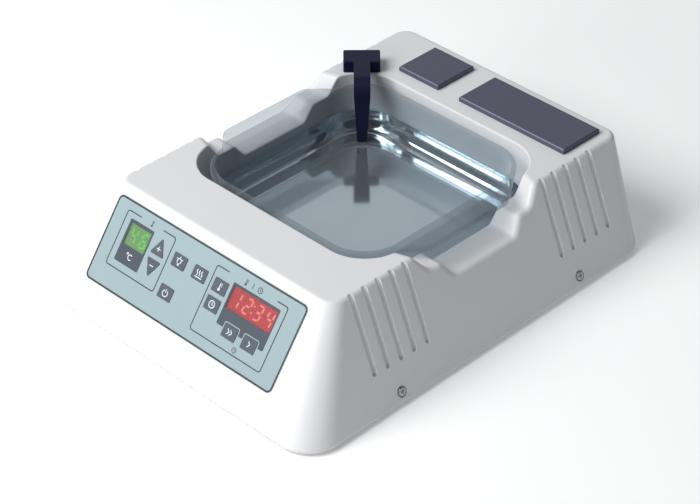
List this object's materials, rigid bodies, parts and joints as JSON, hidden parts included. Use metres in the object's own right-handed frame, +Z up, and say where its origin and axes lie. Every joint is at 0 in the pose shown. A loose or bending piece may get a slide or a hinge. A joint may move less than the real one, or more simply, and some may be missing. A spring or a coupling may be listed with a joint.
{
  "type": "tissue flotation water bath",
  "caption": "Bench water bath with a sloping key panel, a lift-out square glass dish in a heated well, a plug-in temperature probe and drying plates on the rear deck.",
  "frame": {"origin": "on the bench, under the middle of the footprint", "axes": "+X to the right seen from the control panel, +Y to the rear, +Z up"},
  "size_m": [0.3328, 0.4182, 0.1106],
  "materials": {
    "housing_plastic": "fine moulded grain",
    "overlay_film": "printed film",
    "key_cap": "satin",
    "window_tint_green": "gloss",
    "window_tint_red": "gloss",
    "lit_green": "lit",
    "lit_red": "lit",
    "display_body": "matt",
    "dish_glass": "clear pressed",
    "plate_anodised": "dark anodised",
    "probe_plastic": "satin",
    "well_metal": "polished",
    "steel": "plain",
    "plated_brass": "bright",
    "foot_rubber": "matt",
    "silicone": "matt",
    "felt": "felt",
    "board_laminate": "satin",
    "black_moulding": "matt",
    "lamp_cover": "frosted",
    "core_iron": "varnished",
    "winding_wire": "taped",
    "relay_case": "gloss",
    "fuse_glass": "clear",
    "plate_metal": "painted sheet"
  },
  "bodies": {
    "base": {"housing_cover": "housing_plastic", "base_plate": "plate_metal", "rubber_feet": "foot_rubber", "cover_screws": "steel", "bath_well": "well_metal", "well_screws": "steel", "bath_heater": "silicone", "insulation_pad": "felt", "thermal_cutout": "steel", "lamp_window": "lamp_cover", "lamp_board": "board_laminate", "probe_socket": "black_moulding", "plate_straps": "steel", "strap_nuts": "steel", "control_overlay": "overlay_film", "temp_window": "window_tint_green", "time_window": "window_tint_red", "control_board": "board_laminate", "key_switches": "black_moulding", "board_screws": "steel", "mains_inlet": "black_moulding", "inlet_blades": "plated_brass", "power_board": "board_laminate", "board_spacers": "steel", "transformer_core": "core_iron", "transformer_winding": "winding_wire", "relays": "relay_case", "terminal_block": "black_moulding", "square_drying_plate": "plate_anodised", "square_plate_heater": "silicone", "long_drying_plate": "plate_anodised", "long_plate_heater": "silicone", "temp_display": "display_body", "time_display": "display_body", "temp_digits": "lit_green", "time_digits": "lit_red"},
    "dish": {"glass_dish": "dish_glass"},
    "probe": {"probe_arm": "probe_plastic", "probe_pins": "plated_brass", "probe_sensor": "steel"},
    "fuse_tray": {"fuse_drawer": "black_moulding", "fuses": "fuse_glass"},
    "plus_button": {"key_plus": "key_cap"},
    "minus_button": {"key_minus": "key_cap"},
    "light_button": {"key_light": "key_cap"},
    "dryer_button": {"key_dryer": "key_cap"},
    "power_button": {"key_power": "key_cap"},
    "temp_button": {"key_temp": "key_cap"},
    "time_button": {"key_time": "key_cap"},
    "fast_button": {"key_fast": "key_cap"},
    "slow_button": {"key_slow": "key_cap"}
  },
  "joints": [
    {"name": "dish_lift", "type": "slide", "parent": "base", "child": "dish", "axis": [0, 0, 1], "range_m": [0, 0.08]},
    {"name": "probe_lift", "type": "slide", "parent": "dish", "child": "probe", "axis": [0, 0, 1], "range_m": [0, 0.07]},
    {"name": "fuse_drawer_slide", "type": "slide", "parent": "base", "child": "fuse_tray", "axis": [0, 0.9998, 0.0175], "range_m": [0, 0.018]},
    {"name": "plus_press", "type": "slide", "parent": "base", "child": "plus_button", "axis": [0, 0.8112, -0.5848], "range_m": [0, 0.0006], "stiffness_N_per_m": 2500},
    {"name": "minus_press", "type": "slide", "parent": "base", "child": "minus_button", "axis": [0, 0.8112, -0.5848], "range_m": [0, 0.0006], "stiffness_N_per_m": 2500},
    {"name": "light_press", "type": "slide", "parent": "base", "child": "light_button", "axis": [0, 0.8112, -0.5848], "range_m": [0, 0.0006], "stiffness_N_per_m": 2500},
    {"name": "dryer_press", "type": "slide", "parent": "base", "child": "dryer_button", "axis": [0, 0.8112, -0.5848], "range_m": [0, 0.0006], "stiffness_N_per_m": 2500},
    {"name": "power_press", "type": "slide", "parent": "base", "child": "power_button", "axis": [0, 0.8112, -0.5848], "range_m": [0, 0.0006], "stiffness_N_per_m": 2500},
    {"name": "temp_press", "type": "slide", "parent": "base", "child": "temp_button", "axis": [0, 0.8112, -0.5848], "range_m": [0, 0.0006], "stiffness_N_per_m": 2500},
    {"name": "time_press", "type": "slide", "parent": "base", "child": "time_button", "axis": [0, 0.8112, -0.5848], "range_m": [0, 0.0006], "stiffness_N_per_m": 2500},
    {"name": "fast_press", "type": "slide", "parent": "base", "child": "fast_button", "axis": [0, 0.8112, -0.5848], "range_m": [0, 0.0006], "stiffness_N_per_m": 2500},
    {"name": "slow_press", "type": "slide", "parent": "base", "child": "slow_button", "axis": [0, 0.8112, -0.5848], "range_m": [0, 0.0006], "stiffness_N_per_m": 2500}
  ]
}
